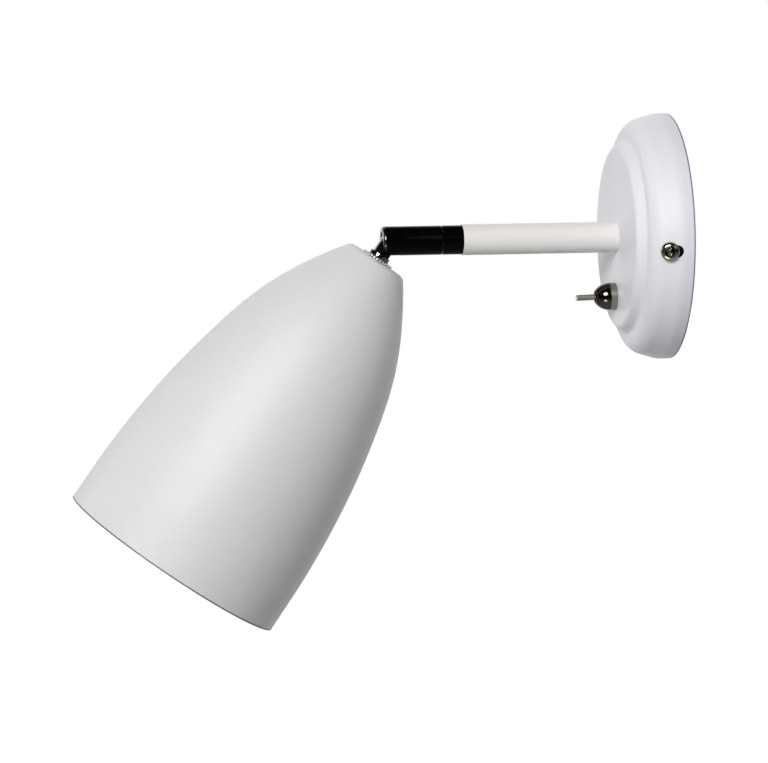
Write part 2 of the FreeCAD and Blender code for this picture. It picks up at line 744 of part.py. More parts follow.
def lamp_screw_cap():
    """The lamp's plated screw cap, rolled with the same round thread."""
    crest = lamp_cap_radius
    groove = lamp_cap_radius - 0.55
    sheet = 0.35
    pitch = 2.82
    start = lamp_tip + 2.4
    turns = 5
    outer = []
    inner = []
    for step in range(turns):
        base = start + step * pitch
        outer += [(base, groove), (base + pitch / 2, crest)]
        inner += [(base, groove - sheet), (base + pitch / 2, crest - sheet)]
    outer += [(start + turns * pitch, groove), (lamp_cap_end, groove)]
    inner += [(start + turns * pitch, groove - sheet), (lamp_cap_end, groove - sheet)]
    return turned(outer + inner[::-1])


def lamp_cap_insulator():
    """Glass disc between the screw cap and the centre contact."""
    start = lamp_tip + 0.8
    end = lamp_tip + 3.6
    return turned([(start, 2.2), (start, 3.4), (lamp_tip + 2.3, 6.2), (lamp_tip + 2.4, 5.9), (end, 5.9),
                   (end, 2.2)])


def lamp_centre_contact():
    return turned([(lamp_tip, 0), (lamp_tip, 1.7), (lamp_tip + 0.7, 2.4), (lamp_tip + 0.78, 2.4),
                   (lamp_tip + 0.78, 1.5), (lamp_tip + 3.6, 1.5), (lamp_tip + 3.6, 0)])


def lamp_housing():
    """Flared white housing that carries the lamp's board and driver."""
    neck = lamp_cap_radius - 0.95
    wall = 1.3
    rim = 17.2
    flare = [(lamp_cap_end, 8.6), (66.0, 10.4), (72.0, 14.0), (76.5, 16.8), (globe_start, rim)]
    outer = [(lamp_cap_end - 5.0, neck), (lamp_cap_end, neck)] + flare
    inner = [(along, radius - wall) for along, radius in flare[:0:-1]]
    inner += [(lamp_cap_end + 1, 8.6 - wall), (lamp_cap_end + 1, neck - wall),
              (lamp_cap_end - 5.0, neck - wall)]
    return turned(outer + inner)


def lamp_globe():
    """Opal globe of the lamp, cut off flat where it meets its housing."""
    outer = Part.makeSphere(globe_radius, point(0, 0, globe_centre))
    inner = Part.makeSphere(globe_radius - globe_wall, point(0, 0, globe_centre))
    cut = block(-30, 30, -30, 30, globe_centre - 30, globe_start + snug)
    return outer.cut(inner).cut(cut)


def led_board():
    return tube(globe_start - 1.8, globe_start - 0.6, 15.4, 1.5)


def led_chips():
    chips = []
    count = 8
    for step in range(count):
        chip = block(8.4, 11.4, -1.5, 1.5, globe_start - 0.6 + snug, globe_start + 0.2)
        chip.rotate(point(0, 0, 0), point(0, 0, 1), 360.0 * step / count)
        chips.append(chip)
    return chips


# ---------------------------------------------------------------- leads

lead_radius = 0.8
lead_x = 0.95
turn_out = 7.8
arm_lead_end = 124.0
lug_y = 2.4 - switch_drop
lug_out = 4.3


def neutral_lead():
    """From the middle pole, down and out through the arm."""
    return lead([(0, terminal_low - 0.2, turn_out), (lead_x, 8, turn_out), (lead_x, 0, turn_out),
                 (lead_x, 0, arm_lead_end)], lead_radius)


def switched_lead():
    """From the switch's lug, up and out through the arm."""
    return lead([(5.2, lug_y, lug_out), (3.0, -13, 6.0), (-lead_x, -lead_x, turn_out),
                 (-lead_x, 0, arm_lead_end)], lead_radius)


def live_lead():
    """From the outer pole down to the switch's other lug."""
    return lead([(-terminal_pitch, terminal_low - 0.2, turn_out), (-terminal_pitch, 4, 6.4), (-8.6, -12, 5.6),
                 (-5.2, lug_y, lug_out)], lead_radius)


def earth_lead():
    """From the third pole to the earth screw on the bracket."""
    return lead([(terminal_pitch, terminal_low - 0.2, turn_out), (11.5, 8.5, 6.2), (earth_x - 1.0, 4.6, 3.0)],
                lead_radius)


def head_lead(side):
    """From the stem's bore to a contact screw of the lampholder."""
    return lead([(side * lead_x, 0, flange_start + 1.4), (side * lead_x, 0, stem_end + 3.0),
                 (side * (contact_screw_x - 0.8), 0, 29.8), (side * (contact_screw_x - 0.4), 0, 34.2)],
                lead_radius)


# ---------------------------------------------------------------- the pieces

os.makedirs("parts", exist_ok=True)

# wall cup, bracket and what they hold
write_arm_piece("wall_bracket", wall_bracket())
write_arm_piece("cable_grommet", moved(cable_grommet(), grommet_x, 0, 0))
earth_screw = slotted_screw(3.5, 2.4, earth_shank, plate_thickness)
write_arm_piece("earth_screw", moved(earth_screw, earth_x, 0, plate_thickness + snug))
write_arm_piece("wall_cup", wall_cup())
write_arm_piece("cup_side_screws", side_screw(1), side_screw(-1))
write_arm_piece("terminal_housing", terminal_housing())
write_arm_piece("terminal_inserts", *terminal_inserts())
write_arm_piece("terminal_screws", *terminal_screws())

# toggle switch
write_arm_piece("switch_body", switch_body())
write_arm_piece("switch_bush", switch_bush())
switch_inner_nut = hex_nut(switch_body_top + 0.1, switch_body_top + 1.9, 13.0, bush_radius + running)
write_arm_piece("switch_inner_nut", at_switch(switch_inner_nut))
write_arm_piece("switch_lock_washer", switch_lock_washer())
write_arm_piece("switch_cap_nut", switch_cap_nut())
write_arm_piece("switch_lugs", *switch_lugs())
write_arm_piece("toggle_lever", toggle_lever())

# arm
write_arm_piece("arm_tube", tube(cup_depth + snug, arm_end - snug, arm_radius, arm_bore))
thread_clearance = thread_radius + running
behind_cup = cup_depth - cup_wall
write_arm_piece("arm_foot_bush", tube(cup_depth + 0.2, cup_depth + 12.0, arm_bore - snug, thread_clearance))
write_arm_piece("arm_nipple", tube(nipple_start, nipple_end, thread_radius, 3.6))
write_arm_piece("arm_lock_washer", tube(behind_cup - 1.2, behind_cup - snug, 8.5, thread_clearance))
write_arm_piece("arm_lock_nut", hex_nut(behind_cup - 5.2, behind_cup - 1.2 - snug, 14.0, thread_clearance))
write_arm_piece("collar", collar())
write_arm_piece("stop_pin", stop_pin())

# swivel
write_arm_piece("swivel_knuckle", swivel_knuckle())
write_arm_piece("swivel_spindle", swivel_spindle())
write_arm_piece("retaining_ring", retaining_ring())
write_arm_piece("disc_spring", disc_spring())
write_arm_piece("pivot_screw", pivot_screw())
write_arm_piece("friction_washers", *friction_washers())

# head
write_head_piece("tongue", tongue())
write_head_piece("toothed_washer", toothed_washer())
write_head_piece("shade", shade())
shade_inner_washer = tube(shade_top + shade_wall + snug, inner_washer_end - snug, 9.5, thread_clearance)
write_head_piece("shade_inner_washer", shade_inner_washer)
write_head_piece("shade_lock_nut", hex_nut(inner_washer_end, shade_nut_end, 14.0, thread_clearance))
write_head_piece("lampholder_cap", lampholder_cap())
write_head_piece("lampholder_body", lampholder_body())
write_head_piece("lampholder_shell", lampholder_shell())
write_head_piece("lampholder_centre_contact", lampholder_centre_contact())
write_head_piece("lampholder_screws", *lampholder_screws())
write_head_piece("lamp_screw_cap", lamp_screw_cap())
write_head_piece("lamp_cap_insulator", lamp_cap_insulator())
write_head_piece("lamp_centre_contact", lamp_centre_contact())
write_head_piece("lamp_housing", lamp_housing())
write_head_piece("lamp_globe", lamp_globe())
write_head_piece("led_board", led_board())
write_head_piece("led_chips", *led_chips())

# leads
write_arm_piece("live_lead", live_lead())
write_arm_piece("neutral_lead", neutral_lead())
write_arm_piece("switched_lead", switched_lead())
write_arm_piece("earth_lead", earth_lead())
write_head_piece("head_live_lead", head_lead(1))
write_head_piece("head_neutral_lead", head_lead(-1))
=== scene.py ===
"""Bedside wall reading lamp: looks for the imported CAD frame.

Metres, in the frame of the CAD model: the wall is the plane Y = 0, the lamp reaches out along -Y and Z is up.
The sections follow the lamp as it is put together, from the wall cup to the lamp and the leads.
"""
import math

import bpy
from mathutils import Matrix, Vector


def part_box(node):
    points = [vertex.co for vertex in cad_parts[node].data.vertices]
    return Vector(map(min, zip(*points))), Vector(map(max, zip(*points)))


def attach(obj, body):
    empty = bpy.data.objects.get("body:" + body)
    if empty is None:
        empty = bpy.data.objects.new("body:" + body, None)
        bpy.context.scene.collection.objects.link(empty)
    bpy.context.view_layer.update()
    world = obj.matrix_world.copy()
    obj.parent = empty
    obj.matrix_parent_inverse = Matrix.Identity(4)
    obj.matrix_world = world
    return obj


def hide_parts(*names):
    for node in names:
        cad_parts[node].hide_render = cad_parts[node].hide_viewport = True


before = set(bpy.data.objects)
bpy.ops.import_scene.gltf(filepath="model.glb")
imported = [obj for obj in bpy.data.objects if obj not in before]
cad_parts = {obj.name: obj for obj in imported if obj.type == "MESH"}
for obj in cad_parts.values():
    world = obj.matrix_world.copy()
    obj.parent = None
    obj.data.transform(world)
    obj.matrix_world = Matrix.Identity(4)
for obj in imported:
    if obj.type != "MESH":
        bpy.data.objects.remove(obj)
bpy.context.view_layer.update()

bpy.ops.object.select_all(action="DESELECT")

# ---------------------------------------------------------------- camera
# The photographer stood a little in front of the lamp and slightly above it, with a long lens,
# and looked at it from its right side, almost along the wall.

camera_data = bpy.data.cameras.new("camera")
camera_data.sensor_fit = "HORIZONTAL"
camera_data.sensor_width = 36.0
camera_data.lens = 187.5
camera_data.clip_start = 0.05
camera_data.clip_end = 60.0
camera = bpy.data.objects.new("camera", camera_data)
camera.location = (1.8961, -0.4599, 0.2398)
camera.rotation_euler = (math.radians(80.8825), math.radians(-0.1473), math.radians(80.4472))
bpy.context.scene.collection.objects.link(camera)
bpy.context.scene.camera = camera

# ---------------------------------------------------------------- floor, backdrop and studio light
# A plain floor well below the lamp that runs up to a white backdrop behind it; mirrors see that backdrop
# and, on the camera's side, a dark studio.  The main softbox stands above the camera on the room side, a
# second one grazes the far side, a weak one lights the wall's side, one fills the side away from the
# camera for matt surfaces, and a low reflector shows only in polished ones.

floor_drop = 1.2
floor_size = 16.0
bpy.ops.mesh.primitive_plane_add(size=floor_size, location=(0, 0, -floor_drop))
floor = bpy.context.object
floor.name = "floor"


def new_material(name):
    """A fresh node material, returned with its node tree and its Principled shader."""
    material = bpy.data.materials.new(name)
    material.use_nodes = True
    return material, material.node_tree, material.node_tree.nodes["Principled BSDF"]


def add_node(tree, kind, **values):
    """Add a shader node; keywords set its properties, or its inputs where their name starts with in_."""
    node = tree.nodes.new(kind)
    for key, value in values.items():
        if key.startswith("in_"):
            node.inputs[key[3:].replace("_", " ")].default_value = value
        else:
            setattr(node, key, value)
    return node


floor_material, tree, surface = new_material("pale_floor")
surface.inputs["Base Color"].default_value = (0.62, 0.62, 0.62, 1)
surface.inputs["Roughness"].default_value = 0.9
surface.inputs["Specular IOR Level"].default_value = 0.1
light_path = add_node(tree, "ShaderNodeLightPath")
floor_place = add_node(tree, "ShaderNodeTexCoord")
floor_axes = add_node(tree, "ShaderNodeSeparateXYZ")
tree.links.new(floor_place.outputs["Object"], floor_axes.inputs[0])
behind = add_node(tree, "ShaderNodeMapRange", in_From_Min=-1.0, in_From_Max=-2.5)
tree.links.new(floor_axes.outputs["X"], behind.inputs["Value"])
mirrored = add_node(tree, "ShaderNodeMath", operation="MULTIPLY")
tree.links.new(light_path.outputs["Is Glossy Ray"], mirrored.inputs[0])
tree.links.new(behind.outputs["Result"], mirrored.inputs[1])
lift = add_node(tree, "ShaderNodeMath", operation="MAXIMUM")
tree.links.new(light_path.outputs["Is Camera Ray"], lift.inputs[0])
tree.links.new(mirrored.outputs[0], lift.inputs[1])
surface.inputs["Emission Color"].default_value = (1, 1, 1, 1)
tree.links.new(lift.outputs[0], surface.inputs["Emission Strength"])
floor.data.materials.append(floor_material)

world = bpy.data.worlds.new("studio")
world.use_nodes = True
bpy.context.scene.world = world
tree = world.node_tree
background = tree.nodes["Background"]
room_light = 0.2
dark_studio = 0.02
backdrop_light = 1.0
light_path = add_node(tree, "ShaderNodeLightPath")
direction = add_node(tree, "ShaderNodeTexCoord")
axes = add_node(tree, "ShaderNodeSeparateXYZ")
tree.links.new(direction.outputs["Generated"], axes.inputs[0])
mirrored = add_node(tree, "ShaderNodeMapRange", in_From_Min=-0.55, in_From_Max=-0.85,
                    in_To_Min=dark_studio, in_To_Max=backdrop_light)
tree.links.new(axes.outputs["X"], mirrored.inputs["Value"])
indirect = add_node(tree, "ShaderNodeMix")
indirect.inputs["A"].default_value = room_light
tree.links.new(mirrored.outputs["Result"], indirect.inputs["B"])
tree.links.new(light_path.outputs["Is Glossy Ray"], indirect.inputs["Factor"])
brightness = add_node(tree, "ShaderNodeMix")
tree.links.new(indirect.outputs["Result"], brightness.inputs["A"])
brightness.inputs["B"].default_value = backdrop_light
tree.links.new(light_path.outputs["Is Camera Ray"], brightness.inputs["Factor"])
background.inputs["Color"].default_value = (1, 1, 1, 1)
tree.links.new(brightness.outputs["Result"], background.inputs["Strength"])


def softbox(name, bearing, height, size, power):
    """A round light aimed at the lamp; bearing 0 is +X and -90 the room, bearing and height in degrees."""
    lamp_middle = Vector((0, -0.14, -0.06))
    distance = 2.0
    turn = math.radians(bearing)
    rise = math.radians(height)
    toward = Vector((math.cos(rise) * math.cos(turn), math.cos(rise) * math.sin(turn), math.sin(rise)))
    data = bpy.data.lights.new(name, "AREA")
    data.shape = "DISK"
    data.size = size
    data.energy = power
    light = bpy.data.objects.new(name, data)
    light.location = lamp_middle + toward * distance
    light.rotation_euler = (-toward).to_track_quat("-Z", "Y").to_euler()
    bpy.context.scene.collection.objects.link(light)
    return light


softbox("key_softbox", bearing=-30, height=30, size=1.0, power=32.5)
softbox("far_side_softbox", bearing=-120, height=12, size=1.0, power=6.3)
softbox("wall_side_softbox", bearing=30, height=30, size=1.0, power=2.6)
low_reflector = softbox("low_reflector", bearing=-28, height=-29, size=0.6, power=7.0)
low_reflector.visible_diffuse = False
back_fill = softbox("back_fill_softbox", bearing=160, height=25, size=1.6, power=14)
back_fill.visible_glossy = False

bpy.context.scene.view_settings.view_transform = "Standard"

# ---------------------------------------------------------------- wall cup
# Spun steel, powder coated in a cool satin white; the coat is slightly pebbled and speckled.  A thin dark
# blue line on the sharp edge that meets the wall is painted shade and a painted dark reflection of that edge.


def finish_in(material, *nodes):
    """Give CAD nodes their finished material."""
    for node in nodes:
        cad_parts[node].material_slots[0].material = material


def new_group(name, inputs, outputs):
    """An empty shader node group; inputs are (name, default) floats, and outputs are names of floats."""
    group = bpy.data.node_groups.new(name, "ShaderNodeTree")
    for label, default in inputs:
        socket = group.interface.new_socket(label, in_out="INPUT", socket_type="NodeSocketFloat")
        socket.default_value = default
    for label in outputs:
        group.interface.new_socket(label, in_out="OUTPUT", socket_type="NodeSocketFloat")
    return group, group.nodes.new("NodeGroupInput"), group.nodes.new("NodeGroupOutput")


pebble, given, result = new_group("pebbled_coat", [("Grains per Metre", 1700.0), ("Cloudiness", 0.03)],
                                  ["Height", "Tone"])
place = add_node(pebble, "ShaderNodeTexCoord")
grains = add_node(pebble, "ShaderNodeTexNoise", in_Detail=2.0, in_Roughness=0.55)
pebble.links.new(place.outputs["Object"], grains.inputs["Vector"])
pebble.links.new(given.outputs["Grains per Metre"], grains.inputs["Scale"])
pebble.links.new(grains.outputs["Fac"], result.inputs["Height"])
clouds = add_node(pebble, "ShaderNodeTexNoise", in_Scale=28.0, in_Detail=3.0)
pebble.links.new(place.outputs["Object"], clouds.inputs["Vector"])
centred = add_node(pebble, "ShaderNodeMath", operation="SUBTRACT")
centred.inputs[1].default_value = 0.5
pebble.links.new(clouds.outputs["Fac"], centred.inputs[0])
tone = add_node(pebble, "ShaderNodeMath", operation="MULTIPLY_ADD")
tone.inputs[2].default_value = 1.0
pebble.links.new(centred.outputs[0], tone.inputs[0])
pebble.links.new(given.outputs["Cloudiness"], tone.inputs[1])
speckle_depth = 0.12
speckled = add_node(pebble, "ShaderNodeMath", operation="MULTIPLY_ADD")
speckled.inputs[1].default_value = speckle_depth
pebble.links.new(grains.outputs["Fac"], speckled.inputs[0])
pebble.links.new(tone.outputs[0], speckled.inputs[2])
levelled = add_node(pebble, "ShaderNodeMath", operation="SUBTRACT")
levelled.inputs[1].default_value = speckle_depth / 2
pebble.links.new(speckled.outputs[0], levelled.inputs[0])
pebble.links.new(levelled.outputs[0], result.inputs["Tone"])


def textured(name, group, colour, bump, **settings):
    """A material that a node group tones and raises; settings fill the group's inputs."""
    material, tree, surface = new_material(name)
    texture = add_node(tree, "ShaderNodeGroup", node_tree=group)
    for label, value in settings.items():
        texture.inputs[label.replace("_", " ")].default_value = value
    tint = add_node(tree, "ShaderNodeVectorMath", operation="SCALE")
    tint.inputs[0].default_value = colour
    tree.links.new(texture.outputs["Tone"], tint.inputs["Scale"])
    tree.links.new(tint.outputs[0], surface.inputs["Base Color"])
    raised = add_node(tree, "ShaderNodeBump", in_Strength=1.0, in_Distance=bump)
    tree.links.new(texture.outputs["Height"], raised.inputs["Height"])
    tree.links.new(raised.outputs[0], surface.inputs["Normal"])
    if "Roughness" in texture.outputs:
        tree.links.new(texture.outputs["Roughness"], surface.inputs["Roughness"])
    return material


def shader_of(material):
    """The Principled shader of a material."""
    return material.node_tree.nodes["Principled BSDF"]


def coated(name, colour, roughness, bump):
    """Satin powder coat: cloudy, finely speckled colour on a pebbled surface."""
    material = textured(name, pebble, colour, bump)
    shader_of(material).inputs["Roughness"].default_value = roughness
    return material


def tint_where(material, share, colour):
    """Blend a material's colour to another one, by a share from 0 to 1."""
    tree = material.node_tree
    base_colour = shader_of(material).inputs["Base Color"]
    plain = base_colour.links[0].from_socket
    blend = add_node(tree, "ShaderNodeMix", data_type="RGBA")
    tree.links.new(share, blend.inputs["Factor"])
    tree.links.new(plain, blend.inputs[6])
    blend.inputs[7].default_value = (*colour, 1)
    tree.links.new(blend.outputs[2], base_colour)


def tint_beyond(material, direction, start, end, colour):
    """Blend to another colour along a direction, between two distances; returns the share's socket."""
    tree = material.node_tree
    place = add_node(tree, "ShaderNodeTexCoord")
    along = add_node(tree, "ShaderNodeVectorMath", operation="DOT_PRODUCT")
    along.inputs[1].default_value = direction
    tree.links.new(place.outputs["Object"], along.inputs[0])
    share = add_node(tree, "ShaderNodeMapRange", in_From_Min=start, in_From_Max=end)
    tree.links.new(along.outputs["Value"], share.inputs["Value"])
    tint_where(material, share.outputs["Result"], colour)
    return share.outputs["Result"]


cup_white = coated("cup_white_coat", (0.80, 0.80, 0.84), 0.40, bump=0.00018)
# Painted shade and painted dark reflection: a thin dark blue line on the edge that meets the wall.
tint_beyond(cup_white, (0, 1, 0), start=-0.0009, end=-0.0003, colour=(0.10, 0.10, 0.22))
finish_in(cup_white, "wall_cup")

# ---------------------------------------------------------------- bracket, cable entry and terminals
# Zinc-plated strap behind the cup, whose bent tabs are coloured near-black as painted shade; a rubber
# grommet round the cable hole, and a white terminal strip with brass inserts.  They are seen only from the
# wall side, apart from the tabs, whose painted shade shows through the cup's side slots behind the screws.

handled, given, result = new_group("handled_metal",
                                   [("Roughness", 0.25), ("Smudge", 0.10), ("Scratches per Metre", 1500.0)],
                                   ["Roughness", "Height", "Tone"])
place = add_node(handled, "ShaderNodeTexCoord")
smears = add_node(handled, "ShaderNodeTexNoise", in_Scale=120.0, in_Detail=4.0, in_Distortion=0.6)
handled.links.new(place.outputs["Object"], smears.inputs["Vector"])
rougher = add_node(handled, "ShaderNodeMath", operation="MULTIPLY_ADD")
handled.links.new(smears.outputs["Fac"], rougher.inputs[0])
handled.links.new(given.outputs["Smudge"], rougher.inputs[1])
handled.links.new(given.outputs["Roughness"], rougher.inputs[2])
handled.links.new(rougher.outputs[0], result.inputs["Roughness"])
stretched = add_node(handled, "ShaderNodeMapping", in_Scale=(1.0, 0.08, 1.0))
handled.links.new(place.outputs["Object"], stretched.inputs["Vector"])
scratches = add_node(handled, "ShaderNodeTexNoise", in_Detail=3.0)
handled.links.new(stretched.outputs[0], scratches.inputs["Vector"])
handled.links.new(given.outputs["Scratches per Metre"], scratches.inputs["Scale"])
handled.links.new(scratches.outputs["Fac"], result.inputs["Height"])
dulled = add_node(handled, "ShaderNodeMapRange", in_From_Min=0.3, in_From_Max=0.7,
                  in_To_Min=0.9, in_To_Max=1.05)
handled.links.new(smears.outputs["Fac"], dulled.inputs["Value"])
handled.links.new(dulled.outputs["Result"], result.inputs["Tone"])


def plated(name, colour, roughness, smudge=0.08):
    """Bare or plated metal with smeared gloss and fine scratches that run along Y."""
    material = textured(name, handled, colour, 0.000004, Roughness=roughness, Smudge=smudge)
    shader_of(material).inputs["Metallic"].default_value = 1.0
    return material


zinc_colour = (0.62, 0.64, 0.66)
finish_in(plated("zinc_plate", zinc_colour, 0.26, smudge=0.20), "terminal_screws", "switch_inner_nut",
          "switch_lock_washer", "arm_nipple", "arm_lock_washer", "arm_lock_nut", "arm_foot_bush", "stop_pin",
          "shade_inner_washer", "shade_lock_nut")

# Painted shade: the tabs behind the cup's side slots turn near-black beyond tab_start.
tab_start = 0.0530
tab_shade_from = 0.0545
bracket_zinc_tab_shade = plated("bracket_zinc_tab_shade", zinc_colour, 0.26, smudge=0.20)
tree = bracket_zinc_tab_shade.node_tree
place = add_node(tree, "ShaderNodeTexCoord")
spread = add_node(tree, "ShaderNodeSeparateXYZ")
tree.links.new(place.outputs["Object"], spread.inputs[0])
outward = add_node(tree, "ShaderNodeMath", operation="ABSOLUTE")
tree.links.new(spread.outputs["X"], outward.inputs[0])
painted_tab_shade = add_node(tree, "ShaderNodeMapRange", in_From_Min=tab_start, in_From_Max=tab_shade_from)
tree.links.new(outward.outputs[0], painted_tab_shade.inputs["Value"])
tint_where(bracket_zinc_tab_shade, painted_tab_shade.outputs["Result"], (0.02, 0.02, 0.022))
finish_in(bracket_zinc_tab_shade, "wall_bracket")

brass = plated("brass", (0.70, 0.52, 0.22), 0.22, smudge=0.18)
finish_in(brass, "terminal_inserts", "earth_screw")

skin, given, result = new_group("moulded_skin", [("Roughness", 0.4), ("Grains per Metre", 2500.0)],
                                ["Roughness", "Height", "Tone"])
place = add_node(skin, "ShaderNodeTexCoord")
etching = add_node(skin, "ShaderNodeTexNoise", in_Detail=3.0)
skin.links.new(place.outputs["Object"], etching.inputs["Vector"])
skin.links.new(given.outputs["Grains per Metre"], etching.inputs["Scale"])
skin.links.new(etching.outputs["Fac"], result.inputs["Height"])
flow = add_node(skin, "ShaderNodeTexNoise", in_Scale=60.0, in_Detail=2.0)
skin.links.new(place.outputs["Object"], flow.inputs["Vector"])
gloss_change = add_node(skin, "ShaderNodeMath", operation="MULTIPLY_ADD")
gloss_change.inputs[1].default_value = 0.12
skin.links.new(flow.outputs["Fac"], gloss_change.inputs[0])
skin.links.new(given.outputs["Roughness"], gloss_change.inputs[2])
skin.links.new(gloss_change.outputs[0], result.inputs["Roughness"])
tone_change = add_node(skin, "ShaderNodeMapRange", in_From_Min=0.3, in_From_Max=0.7,
                       in_To_Min=0.94, in_To_Max=1.03)
skin.links.new(flow.outputs["Fac"], tone_change.inputs["Value"])
skin.links.new(tone_change.outputs["Result"], result.inputs["Tone"])


def moulded(name, colour, roughness, grains=2500.0, bump=0.00001):
    """Moulded plastic or rubber with a faint etched skin."""
    return textured(name, skin, colour, bump, Roughness=roughness, Grains_per_Metre=grains)


def let_light_in(material, weight, depth):
    """Let light scatter a little below the surface."""
    shader_of(material).inputs["Subsurface Weight"].default_value = weight
    shader_of(material).inputs["Subsurface Radius"].default_value = (depth, depth, depth)


finish_in(moulded("black_rubber", (0.025, 0.025, 0.025), 0.62, grains=1400.0, bump=0.00003), "cable_grommet")

terminal_white = moulded("terminal_white", (0.78, 0.78, 0.74), 0.42)
let_light_in(terminal_white, weight=0.25, depth=0.002)
finish_in(terminal_white, "terminal_housing")

# ---------------------------------------------------------------- side screws
# Machine screws in dull nickel, seen end on in the cup's side: rounded cheese heads with a cross recess
# whose sloping walls catch the light.  Each is drawn upright, then set square to the cup's sloping side.


def settle():
    """Put the active object's place, turn and size into its mesh."""
    bpy.ops.object.transform_apply(location=True, rotation=True, scale=True)


def bar(radius, length, centre, turn, sides=64):
    """A round bar as the active object, with its place and turn in the mesh."""
    bpy.ops.mesh.primitive_cylinder_add(vertices=sides, radius=radius, depth=length,
                                        location=centre, rotation=turn)
    settle()
    return bpy.context.object


def brick(x_from, x_to, y_from, y_to, z_from, z_to):
    """A box as the active object, with its place and size in the mesh."""
    middle = ((x_from + x_to) / 2, (y_from + y_to) / 2, (z_from + z_to) / 2)
    bpy.ops.mesh.primitive_cube_add(size=1.0, location=middle)
    bpy.context.object.scale = (x_to - x_from, y_to - y_from, z_to - z_from)
    settle()
    return bpy.context.object


def make_active(piece):
    """Select a piece alone and make it the active object."""
    bpy.ops.object.select_all(action="DESELECT")
    piece.select_set(True)
    bpy.context.view_layer.objects.active = piece


def join(pieces):
    """Join pieces into the first of them."""
    bpy.ops.object.select_all(action="DESELECT")
    for piece in pieces:
        piece.select_set(True)
    bpy.context.view_layer.objects.active = pieces[0]
    bpy.ops.object.join()


def combine(piece, tool, operation):
    """Cut a tool out of a piece, or join it on, and drop the tool."""
    make_active(piece)
    modifier = piece.modifiers.new("combine", "BOOLEAN")
    modifier.object = tool
    modifier.operation = operation
    modifier.solver = "EXACT"
    bpy.ops.object.modifier_apply(modifier=modifier.name)
    bpy.data.objects.remove(tool)


def round_end(piece, is_on_end, radius):
    """Round over the rim of a bar's end; is_on_end says whether a place in the mesh is on that end."""
    make_active(piece)
    bpy.ops.object.mode_set(mode="EDIT")
    bpy.ops.mesh.select_all(action="DESELECT")
    bpy.ops.object.mode_set(mode="OBJECT")
    for vertex in piece.data.vertices:
        vertex.select = is_on_end(vertex.co)
    bpy.ops.object.mode_set(mode="EDIT")
    bpy.ops.mesh.bevel(offset=radius, segments=8, affect="EDGES")
    bpy.ops.object.mode_set(mode="OBJECT")


def soften(piece, width, segments):
    """Break the sharp edges with a bevel and shade the result smooth."""
    make_active(piece)
    bpy.ops.object.mode_set(mode="EDIT")
    bpy.ops.mesh.select_all(action="SELECT")
    bpy.ops.mesh.remove_doubles(threshold=0.000005)
    bpy.ops.mesh.dissolve_limited(angle_limit=math.radians(1.0))
    bpy.ops.object.mode_set(mode="OBJECT")
    modifier = piece.modifiers.new("broken_edges", "BEVEL")
    modifier.width = width
    modifier.segments = segments
    modifier.limit_method = "ANGLE"
    modifier.angle_limit = math.radians(32)
    bpy.ops.object.modifier_apply(modifier=modifier.name)
    bpy.ops.object.shade_smooth_by_angle(angle=math.radians(35))


upright = (0, 0, 0)
hair = 0.0001
cup_radius = 0.060
side_start = 0.006
side_slope = math.atan2(0.0040, 0.0134)
screw_out = 0.012
screw_root = cup_radius - (screw_out - side_start) * math.tan(side_slope)
head_radius = 0.0046
head_height = 0.0031
head_rounding = 0.0020
recess_depth = 0.0015
recess_floor = head_height - recess_depth
cut_past_head = 0.0003
recess_half_length = 0.0027
recess_half_width = 0.0009
recess_turn = 28
floor_length_share = 0.45
floor_width_share = 0.35
shank_radius = 0.00195
shank_length = 0.0094
shank_middle = -0.0043
screws = []
for side in (1, -1):
    screw = bar(head_radius, head_height, (0, 0, head_height / 2), upright)
    round_end(screw, lambda place: place.z > head_height - hair, head_rounding)
    for quarter in (0, 1):
        wing = brick(-recess_half_length, recess_half_length, -recess_half_width, recess_half_width,
                     recess_floor, head_height + cut_past_head)
        for vertex in wing.data.vertices:
            if vertex.co.z < head_height:
                vertex.co.x *= floor_length_share
                vertex.co.y *= floor_width_share
        wing.rotation_euler = (0, 0, math.radians(recess_turn + 90 * quarter))
        settle()
        combine(screw, wing, "DIFFERENCE")
    combine(screw, bar(shank_radius, shank_length, (0, 0, shank_middle), upright, 40), "UNION")
    soften(screw, width=0.00010, segments=2)
    screw.rotation_euler = (0, side * math.radians(90), -side * side_slope)
    screw.location = (side * screw_root, -screw_out, 0)
    settle()
    screws.append(screw)
join(screws)
screws[0].name = "side_screw_pair"
screws[0].data.materials.append(plated("screw_nickel", (0.40, 0.38, 0.30), 0.12, smudge=0.08))
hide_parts("cup_side_screws")
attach(screws[0], "wall_unit")

# ---------------------------------------------------------------- toggle switch
# Black moulded case with brass lugs behind the cup; in front of it a black-nickel cap nut with a duller
# turned skirt, and a nickel lever whose rounded tip is coloured light as a painted highlight.

black_plastic = moulded("switch_black", (0.018, 0.018, 0.020), 0.38)
finish_in(black_plastic, "switch_body")
finish_in(brass, "switch_lugs")

nut_black = plated("cap_nut_black_nickel", (0.085, 0.080, 0.068), 0.04, smudge=0.03)
skirt_front = -0.0284
skirt = tint_beyond(nut_black, (0, 1, 0), start=skirt_front - 0.0003, end=skirt_front + 0.0003,
                    colour=(0.30, 0.29, 0.25))
turned_finish = add_node(nut_black.node_tree, "ShaderNodeMapRange", in_To_Min=0.06, in_To_Max=0.34)
nut_black.node_tree.links.new(skirt, turned_finish.inputs["Value"])
nut_black.node_tree.links.new(turned_finish.outputs["Result"], shader_of(nut_black).inputs["Roughness"])
finish_in(nut_black, "switch_cap_nut")

nickel = plated("nickel", (0.62, 0.60, 0.52), 0.20, smudge=0.10)
finish_in(nickel, "switch_bush")

lever_nickel_tip_highlight = plated("lever_nickel_tip_highlight", (0.36, 0.34, 0.27), 0.26)
lever_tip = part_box("toggle_lever")[0].y
